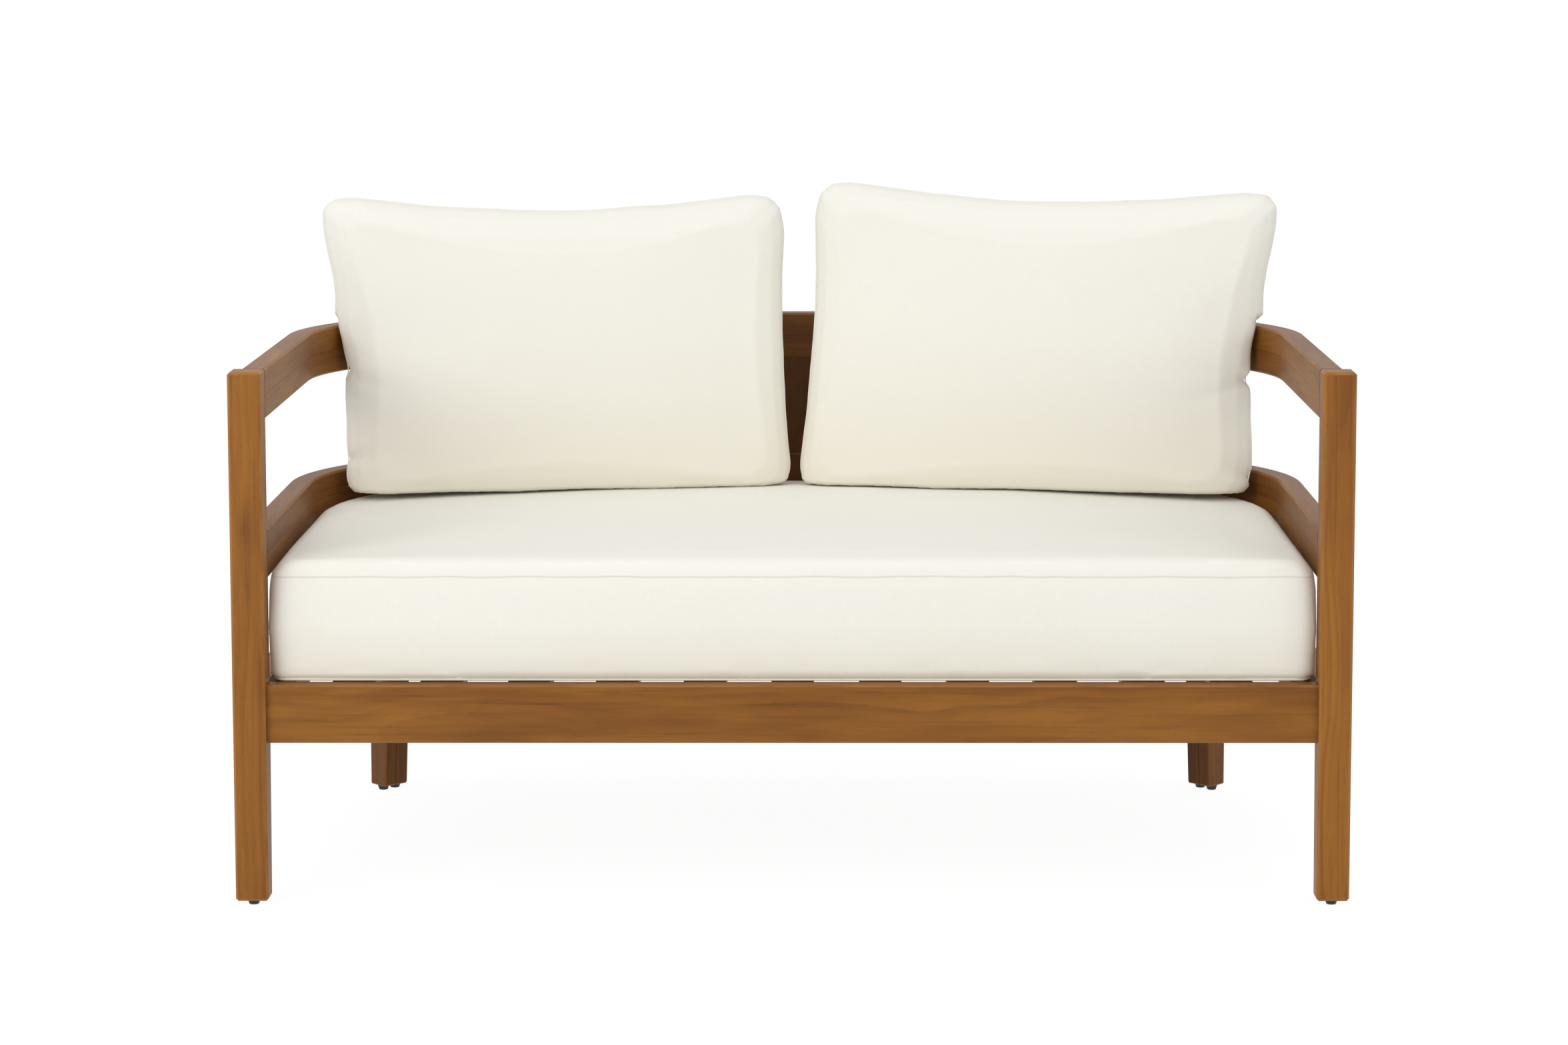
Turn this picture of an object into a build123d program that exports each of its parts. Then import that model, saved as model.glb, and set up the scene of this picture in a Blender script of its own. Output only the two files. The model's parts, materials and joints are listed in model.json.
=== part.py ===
from build123d import *
import os
from math import cos, radians, sin, sqrt

os.makedirs("parts", exist_ok=True)

# A two-seat garden sofa: a wooden frame, a slatted deck, a seat cushion and two back cushions.
# X runs to the right of someone facing it from behind, Y to its back, Z up. Sizes are in millimetres.
# The origin is on the floor, under the middle of the wooden frame.

# Whole frame
overall_width = 1360
overall_depth = 750
arm_height = 657

# Legs. Two half legs stand side by side at each rear corner.
leg_width = 40
leg_depth = 42
leg_foot_depth = 34
half_leg_width = 20
half_leg_depth = 42
half_leg_foot_depth = 32
leg_arris = 3
half_leg_arris = 2

# Rails and aprons
rail_thickness = 29
rail_height = 62
rail_gap = 134
rail_arris = 2.5
apron_bottom = 201
apron_height = 72
front_apron_thickness = 24
front_apron_setback = 10

# Rear corners: the side rails turn by corner_angle, the back rails by the rest of the quarter turn.
side_corner_radius = 290
back_corner_radius = 268
corner_angle = 45

# Back stile
stile_width = 60
stile_thickness = 22

# Tenons and their mortises
tenon_length = 12
tenon_thickness = 11
tenon_shoulder = 10
stile_tenon_shoulder = 8
mortise_play = 0.2

# Slatted deck
slat_count = 11
slat_side_gap = 76.5
slat_width = 52
slat_thickness = 16
slat_arris = 2
slat_end_gap = 0.3
cleat_width = 22
cleat_height = 24
cleat_chamfer = 1.5
cleat_end_gap = 0.3
block_cleat_gap = 12
batten_width = 50
batten_thickness = 18

# Corner blocks behind the front apron
block_width = 42
block_depth = 44
block_height = 52
block_chamfer = 10

# Connector bolts
bolt_diameter = 6
bolt_hole_diameter = 7
bolt_head_diameter = 17
bolt_head_height = 2.5
bolt_grip = 13
pilot_diameter = 6.2
pilot_play = 1
bolt_spacing = 24

# Glides, each nailed on
glide_top_diameter = 16.5
glide_foot_diameter = 12
glide_height = 6.5

# Cushions
soft_gap = 0.3
seat_side_gap = 2.5
seat_front_setback = 28
seat_thickness = 160
seat_seam_height = 129
seat_front_corner_radius = 14
seat_seam_draw = 2.5
seat_bottom_draw = 6
seat_bottom_round = 5
pillow_front_depth = 52
pillow_back_depth = 104
pillow_lean = 6
pillow_toe_in = 8.5
pillow_setback = 112
pillow_squash = 26
pillow_corner_reach = 56
pillow_top_draw = 27
pillow_inner_draw = 12
pillow_outer_draw = 21
pillow_wall_gap = 3
pillow_side_gap = 9
pillow_seat_gap = 0.3

seat_edge_reach = 62
seat_crown_radius = 26000

# The seat cushion's top edge: how far in, and how far up, from its seam to the crown's height
seat_edge_shares = ((0, 0), (0.045, 0.36), (0.12, 0.6), (0.28, 0.77), (0.66, 0.9), (1, 1))

# Corners of each back cushion in the plane of its seam, measured outwards and up from the point
# of that plane that lies below the middle of the sofa
left_inner_foot = -0.5
left_inner_ear = 6
left_outer_foot = 618
left_outer_ear = 651
left_inner_height = 432
left_outer_height = 434
right_inner_foot = -5.5
right_inner_ear = 15
right_outer_foot = 624
right_outer_ear = 660
right_inner_height = 450
right_outer_height = 440

pillow_edge_reach = 70
pillow_front_crown_radius = 3100
pillow_back_crown_radius = 2200

# How a back cushion's edge swells from its seam: how far in, and how deep
pillow_side_steps = 5
pillow_corner_steps = 3
pillow_edge_shares = ((0, 0), (0.08, 0.22), (0.26, 0.48), (0.58, 0.76), (1, 1))

# Places worked out from the sizes above
half_width = overall_width / 2
front_y = -overall_depth / 2
back_y = overall_depth / 2
pair_width = 2 * half_leg_width
corner = radians(corner_angle)
inner_x = half_width - leg_width
rail_outer_x = inner_x + rail_thickness
half_leg_proud = half_leg_depth - rail_thickness
side_centre_x = rail_outer_x - side_corner_radius
side_centre_y = (
    back_y
    - back_corner_radius * (1 - sin(corner))
    - pair_width * cos(corner)
    - side_corner_radius * sin(corner)
)
back_centre_x = (
    side_centre_x
    + side_corner_radius * cos(corner)
    - pair_width * sin(corner)
    - back_corner_radius * cos(corner)
)
back_centre_y = back_y - back_corner_radius
leg_back_y = front_y + leg_depth
apron_top = apron_bottom + apron_height
apron_front_y = front_y + front_apron_setback
apron_back_y = apron_front_y + front_apron_thickness
arm_rail_bottom = arm_height - rail_height
lower_rail_top = arm_rail_bottom - rail_gap
lower_rail_bottom = lower_rail_top - rail_height
slat_bottom = apron_top - slat_thickness
slat_pitch = (2 * (inner_x - slat_side_gap) - slat_width) / (slat_count - 1)
cleat_bottom = slat_bottom - cleat_height
cleat_inset = rail_thickness + cleat_width
block_inner_x = inner_x - block_width
block_back_y = apron_back_y + block_depth
seat_bottom = apron_top + soft_gap
seat_top = seat_bottom + seat_thickness
seam_y = back_y - rail_thickness - pillow_setback
crown_reach = seam_y - pillow_front_depth
crown_drop = seat_crown_radius - sqrt(seat_crown_radius ** 2 - crown_reach ** 2)
pillow_bottom = seat_top - crown_drop + pillow_seat_gap

# Directions at the right rear corner: along the pair of half legs, and in towards the seat
tangent = (-sin(corner), cos(corner), 0)
inward = (-cos(corner), -sin(corner), 0)


def side_point(inset, angle):
    """A point of the side rails' corner arc, inset from the rails' outer face."""
    radius = side_corner_radius - inset
    return (side_centre_x + radius * cos(angle), side_centre_y + radius * sin(angle))


def back_point(inset, angle):
    """A point of the back rails' corner arc, inset from the rails' outer face."""
    radius = back_corner_radius - inset
    return (back_centre_x + radius * cos(angle), back_centre_y + radius * sin(angle))


def mirrored(point):
    """The same point on the left side."""
    return (-point[0], point[1])


def side_strip(near, far, start_y, level):
    """Plan of a strip along the right side, from start_y round to the half legs, between two insets."""
    with BuildSketch(Plane.XY.offset(level)) as plan:
        with BuildLine():
            near_bend = side_point(near, 0)
            far_bend = side_point(far, 0)
            near_start = (near_bend[0], start_y)
            far_start = (far_bend[0], start_y)
            Polyline(far_bend, far_start, near_start, near_bend)
            ThreePointArc(near_bend, side_point(near, corner / 2), side_point(near, corner))
            Line(side_point(near, corner), side_point(far, corner))
            ThreePointArc(side_point(far, corner), side_point(far, corner / 2), far_bend)
        make_face()
    return plan.sketch


def back_strip(near, far, level):
    """Plan of a strip across the back, from half leg to half leg, between two insets."""
    middle = (corner + radians(90)) / 2
    with BuildSketch(Plane.XY.offset(level)) as plan:
        with BuildLine():
            for inset in (near, far):
                end = back_point(inset, corner)
                bend = (back_centre_x, back_y - inset)
                bow = back_point(inset, middle)
                ThreePointArc(end, bow, bend)
                Line(bend, mirrored(bend))
                ThreePointArc(mirrored(bend), mirrored(bow), mirrored(end))
            Line(back_point(near, corner), back_point(far, corner))
            Line(mirrored(back_point(near, corner)), mirrored(back_point(far, corner)))
        make_face()
    return plan.sketch


def long_edges(piece):
    """The edges that run along a rail, without the short ones across its ends."""
    layers = piece.part.faces().filter_by(Axis.Z).sort_by(Axis.Z)
    edges = layers[0].edges() + layers[-1].edges()
    return edges.filter_by(lambda edge: edge.length > rail_height)


def tenon(plane, height, play):
    """A tenon that leaves plane along its normal, or with play the mortise that takes it."""
    with BuildPart() as peg:
        with BuildSketch(plane):
            Rectangle(tenon_thickness + 2 * play, height - 2 * tenon_shoulder + 2 * play)
        extrude(amount=tenon_length + play)
    return peg.part


def front_joint(level):
    """Where a right side rail meets the back of the front leg, looking into the leg."""
    return Plane(
        origin=(inner_x + rail_thickness / 2, leg_back_y, level), x_dir=(1, 0, 0), z_dir=(0, -1, 0)
    )


def side_rear_joint(level):
    """Where a right side rail meets the side frame's half leg, looking into the leg."""
    spot = side_point(rail_thickness / 2, corner)
    return Plane(origin=(*spot, level), x_dir=inward, z_dir=tangent)


def back_joint(level):
    """Where a back rail meets the back frame's right half leg, looking into the leg."""
    spot = back_point(rail_thickness / 2, corner)
    return Plane(origin=(*spot, level), x_dir=inward, z_dir=tuple(-part for part in tangent))


def apron_joint():
    """Where the front apron meets the inner face of the right front leg, looking into the leg."""
    return Plane(
        origin=(inner_x, (apron_front_y + apron_back_y) / 2, apron_bottom + apron_height / 2),
        x_dir=(0, 1, 0),
        z_dir=(1, 0, 0),
    )


rail_levels = (arm_height - rail_height / 2, lower_rail_top - rail_height / 2)
apron_level = apron_bottom + apron_height / 2
joint_heights = [(level, rail_height) for level in rail_levels] + [(apron_level, apron_height)]

# Connector bolts. Each plane sits where the two joined pieces meet, with its normal towards
# the bolt's head, and the first piece is as thick as the bolt's way through it.
seam_spot = side_point(half_leg_depth / 2 - half_leg_proud, corner)
seam_centre = Vector(*seam_spot, 0) + Vector(*tangent) * half_leg_width
gap_levels = (
    (lower_rail_top + arm_rail_bottom) / 2,
    (apron_top + lower_rail_bottom) / 2,
)
leg_bolt_planes = [
    Plane(
        origin=(seam_centre.X, seam_centre.Y, level), x_dir=inward, z_dir=tangent
    )
    for level in gap_levels
]
block_bottom = slat_bottom - block_height
apron_bolt_plane = Plane(
    origin=(
        inner_x - block_width / 2,
        apron_back_y,
        block_bottom + block_height / 2 + bolt_spacing / 2,
    ),
    x_dir=(1, 0, 0),
    z_dir=(0, 1, 0),
)
side_bolt_plane = Plane(
    origin=(
        inner_x,
        (leg_back_y + block_back_y) / 2,
        block_bottom + block_height / 2 - bolt_spacing / 2,
    ),
    x_dir=(0, 1, 0),
    z_dir=(-1, 0, 0),
)
bolt_places = [(plane, half_leg_width) for plane in leg_bolt_planes] + [
    (apron_bolt_plane, block_depth),
    (side_bolt_plane, block_width),
]


def bore(plane, diameter, depth):
    """A round hole's body that leaves plane along its normal, or against it where depth is negative."""
    with BuildPart() as hole:
        with BuildSketch(plane):
            Circle(diameter / 2)
        extrude(amount=depth)
    return hole.part


def bolt_hole(plane, thickness):
    """The clearance hole of a bolt in the piece under its head."""
    return bore(plane, bolt_hole_diameter, thickness)


def pilot_hole(plane):
    """The blind hole that the end of a bolt grips."""
    return bore(plane, pilot_diameter, -bolt_grip - pilot_play)


def save(piece, label):
    """Name a finished piece and write it out."""
    piece.part.label = label
    export_step(piece.part, f"parts/{label}.step")


def save_pair(piece, label):
    """Write a piece of the right side and its mirror image on the left."""
    save(piece, f"{label}_right")
    with BuildPart() as twin:
        mirror(piece.part, about=Plane.YZ)
    save(twin, f"{label}_left")


def leg_blank(plane, start, depth, foot_depth, width, arris):
    """A leg with a straight outer face, and below the aprons a tapered inner one, and its foot's middle."""
    with BuildPart() as blank:
        with BuildSketch(plane):
            with BuildLine():
                Polyline(
                    (start, glide_height),
                    (start + foot_depth, glide_height),
                    (start + depth, apron_bottom),
                    (start + depth, arm_height),
                    (start, arm_height),
                    close=True,
                )
            make_face()
        extrude(amount=width)
        bend = blank.edges().filter_by(
            lambda edge: edge.length < width + arris and abs(edge.center().Z - apron_bottom) < arris
        )
        chamfer(blank.edges() - bend, length=arris)
    foot = plane.from_local_coords((start + foot_depth / 2, glide_height, width / 2))
    return blank.part, foot


front_leg_plane = Plane.YZ.offset(inner_x)
side_leg_plane = Plane(origin=(*side_point(0, corner), 0), x_dir=inward, z_dir=tangent)
back_leg_plane = side_leg_plane.offset(half_leg_width)

# Front legs
blank, front_foot = leg_blank(
    front_leg_plane, front_y, leg_depth, leg_foot_depth, leg_width, leg_arris
)
with BuildPart() as front_leg:
    add(blank)
    for level, height in joint_heights:
        add(tenon(front_joint(level), height, mortise_play), mode=Mode.SUBTRACT)
    add(tenon(apron_joint(), apron_height, mortise_play), mode=Mode.SUBTRACT)
save_pair(front_leg, "front_leg")

# Rear half legs of the side frames
blank, side_foot = leg_blank(
    side_leg_plane,
    -half_leg_proud,
    half_leg_depth,
    half_leg_foot_depth,
    half_leg_width,
    half_leg_arris,
)
with BuildPart() as side_rear_leg:
    add(blank)
    for level, height in joint_heights:
        add(tenon(side_rear_joint(level), height, mortise_play), mode=Mode.SUBTRACT)
    for plane in leg_bolt_planes:
        add(pilot_hole(plane), mode=Mode.SUBTRACT)
save_pair(side_rear_leg, "side_rear_leg")

# Half legs of the back frame
blank, back_foot = leg_blank(
    back_leg_plane,
    -half_leg_proud,
    half_leg_depth,
    half_leg_foot_depth,
    half_leg_width,
    half_leg_arris,
)
with BuildPart() as back_leg:
    add(blank)
    for level, height in joint_heights:
        add(tenon(back_joint(level), height, mortise_play), mode=Mode.SUBTRACT)
    for plane in leg_bolt_planes:
        add(bolt_hole(plane, half_leg_width), mode=Mode.SUBTRACT)
save_pair(back_leg, "back_leg")


def side_rail(bottom, height):
    """A right side rail or apron: straight, then round the corner, with a tenon at each end."""
    with BuildPart() as rail:
        extrude(side_strip(0, rail_thickness, leg_back_y, bottom), amount=height)
        chamfer(long_edges(rail), length=rail_arris)
        add(tenon(front_joint(bottom + height / 2), height, 0))
        add(tenon(side_rear_joint(bottom + height / 2), height, 0))
    return rail


def back_rail(bottom, height):
    """A back rail or apron with both its curved ends, and a tenon at each of them."""
    with BuildPart() as rail:
        extrude(back_strip(0, rail_thickness, bottom), amount=height)
        chamfer(long_edges(rail), length=rail_arris)
        end = tenon(back_joint(bottom + height / 2), height, 0)
        add(end)
        mirror(end, about=Plane.YZ)
    return rail


# Side rails and aprons
save_pair(side_rail(arm_rail_bottom, rail_height), "arm_rail")
save_pair(side_rail(lower_rail_bottom, rail_height), "lower_arm_rail")
side_apron = side_rail(apron_bottom, apron_height)
with side_apron:
    add(pilot_hole(side_bolt_plane), mode=Mode.SUBTRACT)
save_pair(side_apron, "side_apron")


def stile_tenon(level, play):
    """The stile's tenons on both sides of a level, or with play the mortises that take them."""
    with BuildPart() as peg:
        with Locations((0, back_y - rail_thickness / 2, level)):
            Box(
                stile_width - 2 * stile_tenon_shoulder + 2 * play,
                tenon_thickness + 2 * play,
                2 * tenon_length + 2 * play,
            )
    return peg.part


# Back frame
back_top_rail = back_rail(arm_rail_bottom, rail_height)
with back_top_rail:
    add(stile_tenon(arm_rail_bottom, mortise_play), mode=Mode.SUBTRACT)
save(back_top_rail, "back_top_rail")

back_lower_rail = back_rail(lower_rail_bottom, rail_height)
with back_lower_rail:
    add(stile_tenon(lower_rail_top, mortise_play), mode=Mode.SUBTRACT)
save(back_lower_rail, "back_lower_rail")

save(back_rail(apron_bottom, apron_height), "back_apron")

with BuildPart() as back_centre_stile:
    with BuildSketch(Plane.XY.offset(lower_rail_top)):
        with Locations((0, back_y - rail_thickness / 2)):
            Rectangle(stile_width, stile_thickness)
    extrude(amount=arm_rail_bottom - lower_rail_top)
    chamfer(back_centre_stile.edges().filter_by(Axis.Z), length=half_leg_arris)
    add(stile_tenon(lower_rail_top, 0))
    add(stile_tenon(arm_rail_bottom, 0))
save(back_centre_stile, "back_centre_stile")

# Front apron
with BuildPart() as front_apron:
    with BuildSketch(Plane.XY.offset(apron_bottom)):
        with Locations((0, (apron_front_y + apron_back_y) / 2)):
            Rectangle(2 * inner_x, front_apron_thickness)
    extrude(amount=apron_height)
    chamfer(long_edges(front_apron), length=rail_arris)
    end = tenon(apron_joint(), apron_height, 0)
    add(end)
    mirror(end, about=Plane.YZ)
    pocket = pilot_hole(apron_bolt_plane)
    add(pocket, mode=Mode.SUBTRACT)
    mirror(pocket, about=Plane.YZ, mode=Mode.SUBTRACT)
save(front_apron, "front_apron")

# Corner blocks, each with one bolt into the front apron and one into the side apron
with BuildPart() as corner_block:
    with BuildSketch(Plane.XY.offset(block_bottom)):
        with Locations((inner_x - block_width / 2, apron_back_y + block_depth / 2)):
            Rectangle(block_width, block_depth)
    extrude(amount=block_height)
    free_edge = corner_block.edges().filter_by(Axis.Z).sort_by(Axis.X)[:2].sort_by(Axis.Y)[-1]
    chamfer(free_edge, length=block_chamfer)
    add(bolt_hole(apron_bolt_plane, block_depth), mode=Mode.SUBTRACT)
    add(bolt_hole(side_bolt_plane, block_width), mode=Mode.SUBTRACT)
save_pair(corner_block, "corner_block")

# Cleats that carry the slats, on the inner faces of the aprons
with BuildPart() as side_cleat:
    cleat_plan = side_strip(rail_thickness, cleat_inset, block_back_y + block_cleat_gap, cleat_bottom)
    extrude(cleat_plan, amount=cleat_height)
save_pair(side_cleat, "side_cleat")

with BuildPart() as back_cleat:
    extrude(back_strip(rail_thickness, cleat_inset, cleat_bottom), amount=cleat_height)
save(back_cleat, "back_cleat")

with BuildPart() as front_cleat:
    with BuildSketch(Plane.XY.offset(cleat_bottom)):
        with Locations((0, apron_back_y + cleat_width / 2)):
            Rectangle(2 * (block_inner_x - cleat_end_gap), cleat_width)
    extrude(amount=cleat_height)
    low_edge = front_cleat.edges().filter_by(Axis.X).group_by(Axis.Z)[0].sort_by(Axis.Y)[-1]
    chamfer(low_edge, length=cleat_chamfer)
save(front_cleat, "front_cleat")

# Batten that ties the slats together at the middle of their length
with BuildPart() as deck_batten:
    with BuildSketch(Plane.XY.offset(slat_bottom - batten_thickness)):
        Rectangle(2 * (inner_x - cleat_width - cleat_end_gap), batten_width)
    extrude(amount=batten_thickness)
    low_edges = deck_batten.edges().filter_by(Axis.X).group_by(Axis.Z)[0]
    chamfer(low_edges, length=cleat_chamfer)
save(deck_batten, "deck_batten")


def wall_y(x, inset):
    """How far back the ring of rails stands at a distance x from the middle, inset from its outer face."""
    back_end = back_point(inset, corner)
    side_end = side_point(inset, corner)
    if x <= back_centre_x:
        return back_y - inset
    if x <= back_end[0]:
        return back_centre_y + sqrt((back_corner_radius - inset) ** 2 - (x - back_centre_x) ** 2)
    if x <= side_end[0]:
        along = (x - back_end[0]) / (side_end[0] - back_end[0])
        return back_end[1] + along * (side_end[1] - back_end[1])
    reach = (side_corner_radius - inset) ** 2 - (x - side_centre_x) ** 2
    return side_centre_y + sqrt(max(reach, 0))


# Slats, from left to right. The outer ones are shorter, where the ring turns in.
for number in range(slat_count):
    middle_x = (number - (slat_count - 1) / 2) * slat_pitch
    outer_edge_x = abs(middle_x) + slat_width / 2
    slat_front = apron_back_y + slat_end_gap
    slat_back = wall_y(outer_edge_x, rail_thickness) - slat_end_gap
    with BuildPart() as slat:
        with BuildSketch(Plane.XY.offset(slat_bottom)):
            with Locations((middle_x, (slat_front + slat_back) / 2)):
                Rectangle(slat_width, slat_back - slat_front)
        extrude(amount=slat_thickness)
        chamfer(slat.edges().filter_by(Axis.Y), length=slat_arris)
    save(slat, f"seat_slat_{number + 1:02d}")


def cap_bolt(seat, shank_length):
    """A bolt whose flat head rests on the seat plane."""
    with BuildPart() as bolt:
        add(bore(seat, bolt_head_diameter, bolt_head_height))
        add(bore(seat, bolt_diameter, -shank_length))
    return bolt.part


# Connector bolts
with BuildPart() as frame_bolts:
    for plane, thickness in bolt_places:
        add(cap_bolt(plane.offset(thickness), thickness + bolt_grip))
    mirror(frame_bolts.part, about=Plane.YZ)
save(frame_bolts, "frame_bolts")

# Glides: tapered round feet
with BuildPart() as glide:
    with BuildSketch(Plane.XZ):
        with BuildLine():
            Polyline(
                (0, 0),
                (glide_foot_diameter / 2, 0),
                (glide_top_diameter / 2, glide_height),
                (0, glide_height),
                close=True,
            )
        make_face()
    revolve(axis=Axis.Z)

with BuildPart() as leg_glides:
    for foot in (front_foot, side_foot, back_foot):
        with Locations((foot.X, foot.Y, 0), (-foot.X, foot.Y, 0)):
            add(glide.part)
save(leg_glides, "leg_glides")


def seat_outline(inset, level):
    """The seat cushion's plan at a level: it follows the ring of rails, with rounded front corners."""
    gap = rail_thickness + seat_side_gap + inset
    side_x = side_point(gap, 0)[0]
    bend_y = side_centre_y
    start_y = front_y + seat_front_setback + inset
    nose = seat_front_corner_radius + inset / 2
    quarter = radians(90)
    middle = (corner + quarter) / 2
    nose_bow = nose * (1 - sin(quarter / 2))
    with BuildSketch(Plane.XY.offset(level)) as plan:
        with BuildLine():
            Line((nose - side_x, start_y), (side_x - nose, start_y))
            for place in (tuple, mirrored):
                ThreePointArc(
                    place((side_x - nose, start_y)),
                    place((side_x - nose_bow, start_y + nose_bow)),
                    place((side_x, start_y + nose)),
                )
                Line(place((side_x, start_y + nose)), place((side_x, bend_y)))
                ThreePointArc(
                    place((side_x, bend_y)),
                    place(side_point(gap, corner / 2)),
                    place(side_point(gap, corner)),
                )
                Line(place(side_point(gap, corner)), place(back_point(gap, corner)))
                ThreePointArc(
                    place(back_point(gap, corner)),
                    place(back_point(gap, middle)),
                    place((back_centre_x, back_y - gap)),
                )
            Line((back_centre_x, back_y - gap), (-back_centre_x, back_y - gap))
        make_face()
    return plan.sketch


def crown(top, radius):
    """A large ball that touches the plane top from below, to cut a crown with."""
    centre = top.origin - top.z_dir * radius
    with BuildPart() as ball:
        with Locations(Plane(origin=centre, x_dir=-top.z_dir, z_dir=top.x_dir)):
            Sphere(radius)
    return ball.part


# Seat cushion: rounded below, its sides swell a little up to the top seam, with a crown above
crown_height = seat_thickness - seat_seam_height
seat_foot = (
    (seat_bottom_draw, 0),
    (seat_seam_draw, seat_bottom_round),
)
seat_side = (
    (seat_seam_draw, seat_bottom_round),
    (0, seat_seam_height / 2),
    (seat_seam_draw, seat_seam_height),
)
seat_edge = [
    (seat_seam_draw + inward_share * seat_edge_reach, seat_seam_height + up_share * crown_height)
    for inward_share, up_share in seat_edge_shares
]
with BuildPart() as seat_cushion:
    for sections in (seat_foot, seat_side, seat_edge):
        loft([seat_outline(inset, seat_bottom + rise) for inset, rise in sections], ruled=True)
    add(crown(Plane.XY.offset(seat_top), seat_crown_radius), mode=Mode.INTERSECT)
save(seat_cushion, "seat_cushion")


def drawn_side(start, end, draw):
    """Points of an outline's side, drawn in to its left at its middle, that stop short of its corners."""
    start = Vector(*start)
    along = Vector(*end) - start
    sideways = along.normalized().rotate(Axis.Z, 90)
    margin = pillow_corner_reach / along.length
    points = []
    for step in range(pillow_side_steps + 1):
        share = margin + (1 - 2 * margin) * step / pillow_side_steps
        bow = 4 * share * (1 - share)
        points.append(start + along * share + sideways * (draw * bow))
    return points


def rounded_corner(before, corner_point, after):
    """Points between two sides' ends, on a curve that bends towards their corner."""
    points = []
    for step in range(1, pillow_corner_steps):
        share = step / pillow_corner_steps
        rest = 1 - share
        points.append(
            before * rest ** 2 + Vector(*corner_point) * (2 * share * rest) + after * share ** 2
        )
    return points


def pillow_outline(plane, shape, inset):
    """A back cushion's outline in a plane beside its seam: a flat foot, drawn-in sides, raised ears."""
    inner_foot, inner_ear, outer_foot, outer_ear, inner_height, outer_height = shape
    inner_low = (inner_foot + inset, inset)
    outer_low = (outer_foot - inset, inset)
    outer_high = (outer_ear - inset, outer_height - inset)
    inner_high = (inner_ear + inset, inner_height - inset)
    sides = [
        drawn_side(start, end, draw)
        for start, end, draw in (
            (inner_low, outer_low, 0),
            (outer_low, outer_high, pillow_outer_draw),
            (outer_high, inner_high, pillow_top_draw),
            (inner_high, inner_low, pillow_inner_draw),
        )
    ]
    points = []
    for side, corner_point, following in zip(
        sides, (outer_low, outer_high, inner_high, inner_low), sides[1:] + sides[:1]
    ):
        points += side + rounded_corner(side[-1], corner_point, following[0])
    with BuildSketch(plane) as outline:
        with BuildLine():
            Polyline(*points, close=True)
        make_face()
    return outline.sketch


def wall_room():
    """The room of the rails and legs round the seat, widened by the gaps that the back cushions keep."""
    bottom = lower_rail_bottom - pillow_side_gap
    room_height = arm_height + pillow_side_gap - bottom
    far = rail_thickness + pillow_side_gap
    near = -pillow_back_depth
    with BuildPart() as room:
        extrude(back_strip(near, rail_thickness + pillow_wall_gap, bottom), amount=room_height)
        side = extrude(side_strip(near, far, leg_back_y, bottom), amount=room_height)
        with BuildSketch(Plane.XY.offset(bottom)):
            with BuildLine():
                Polyline(
                    side_point(near, corner),
                    side_point(far, corner),
                    back_point(far, corner),
                    back_point(near, corner),
                    close=True,
                )
            make_face()
        pair = extrude(amount=room_height)
        mirror(side, about=Plane.YZ)
        mirror(pair, about=Plane.YZ)
    return room.part


def back_cushion(shape):
    """A loose back cushion on the right side: it swells from its seam and is pressed flat below."""
    toe = radians(pillow_toe_in)
    lean = radians(pillow_lean)
    outwards = Vector(cos(toe), -sin(toe), 0)
    up = Vector(sin(toe) * sin(lean), cos(toe) * sin(lean), cos(lean))
    seam = Plane(
        origin=(0, seam_y, pillow_bottom - pillow_squash),
        x_dir=outwards,
        z_dir=outwards.cross(up),
    )
    middle = seam.from_local_coords((sum(shape[:4]) / 4, sum(shape[4:]) / 4))
    front = Plane(origin=middle, x_dir=outwards, z_dir=seam.z_dir).offset(pillow_front_depth)
    back = Plane(origin=middle, x_dir=outwards, z_dir=-seam.z_dir).offset(pillow_back_depth)
    with BuildPart() as cushion:
        for depth in (pillow_front_depth, -pillow_back_depth):
            loft(
                [
                    pillow_outline(
                        seam.offset(depth_share * depth), shape, inset_share * pillow_edge_reach
                    )
                    for inset_share, depth_share in pillow_edge_shares
                ],
                ruled=True,
            )
        add(crown(front, pillow_front_crown_radius), mode=Mode.INTERSECT)
        add(crown(back, pillow_back_crown_radius), mode=Mode.INTERSECT)
        add(wall_room(), mode=Mode.SUBTRACT)
        split(bisect_by=Plane.XY.offset(pillow_bottom), keep=Keep.TOP)
    return cushion


left_shape = (
    left_inner_foot,
    left_inner_ear,
    left_outer_foot,
    left_outer_ear,
    left_inner_height,
    left_outer_height,
)
right_shape = (
    right_inner_foot,
    right_inner_ear,
    right_outer_foot,
    right_outer_ear,
    right_inner_height,
    right_outer_height,
)
with BuildPart() as left_cushion:
    mirror(back_cushion(left_shape).part, about=Plane.YZ)
save(left_cushion, "back_cushion_left")
save(back_cushion(right_shape), "back_cushion_right")
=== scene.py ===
"""Looks of a garden loveseat: stained wood, three stuffed cushions, its hardware and a plain studio.

Everything is in metres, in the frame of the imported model. X runs from the left arm to the right one,
Y from the front to the back, and Z up from the floor.
"""

import json
import logging
import math
from dataclasses import dataclass, field
from enum import Enum

import bmesh
import bpy
import numpy as np
from mathutils import Matrix, Vector, noise
from mathutils.bvhtree import BVHTree


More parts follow.
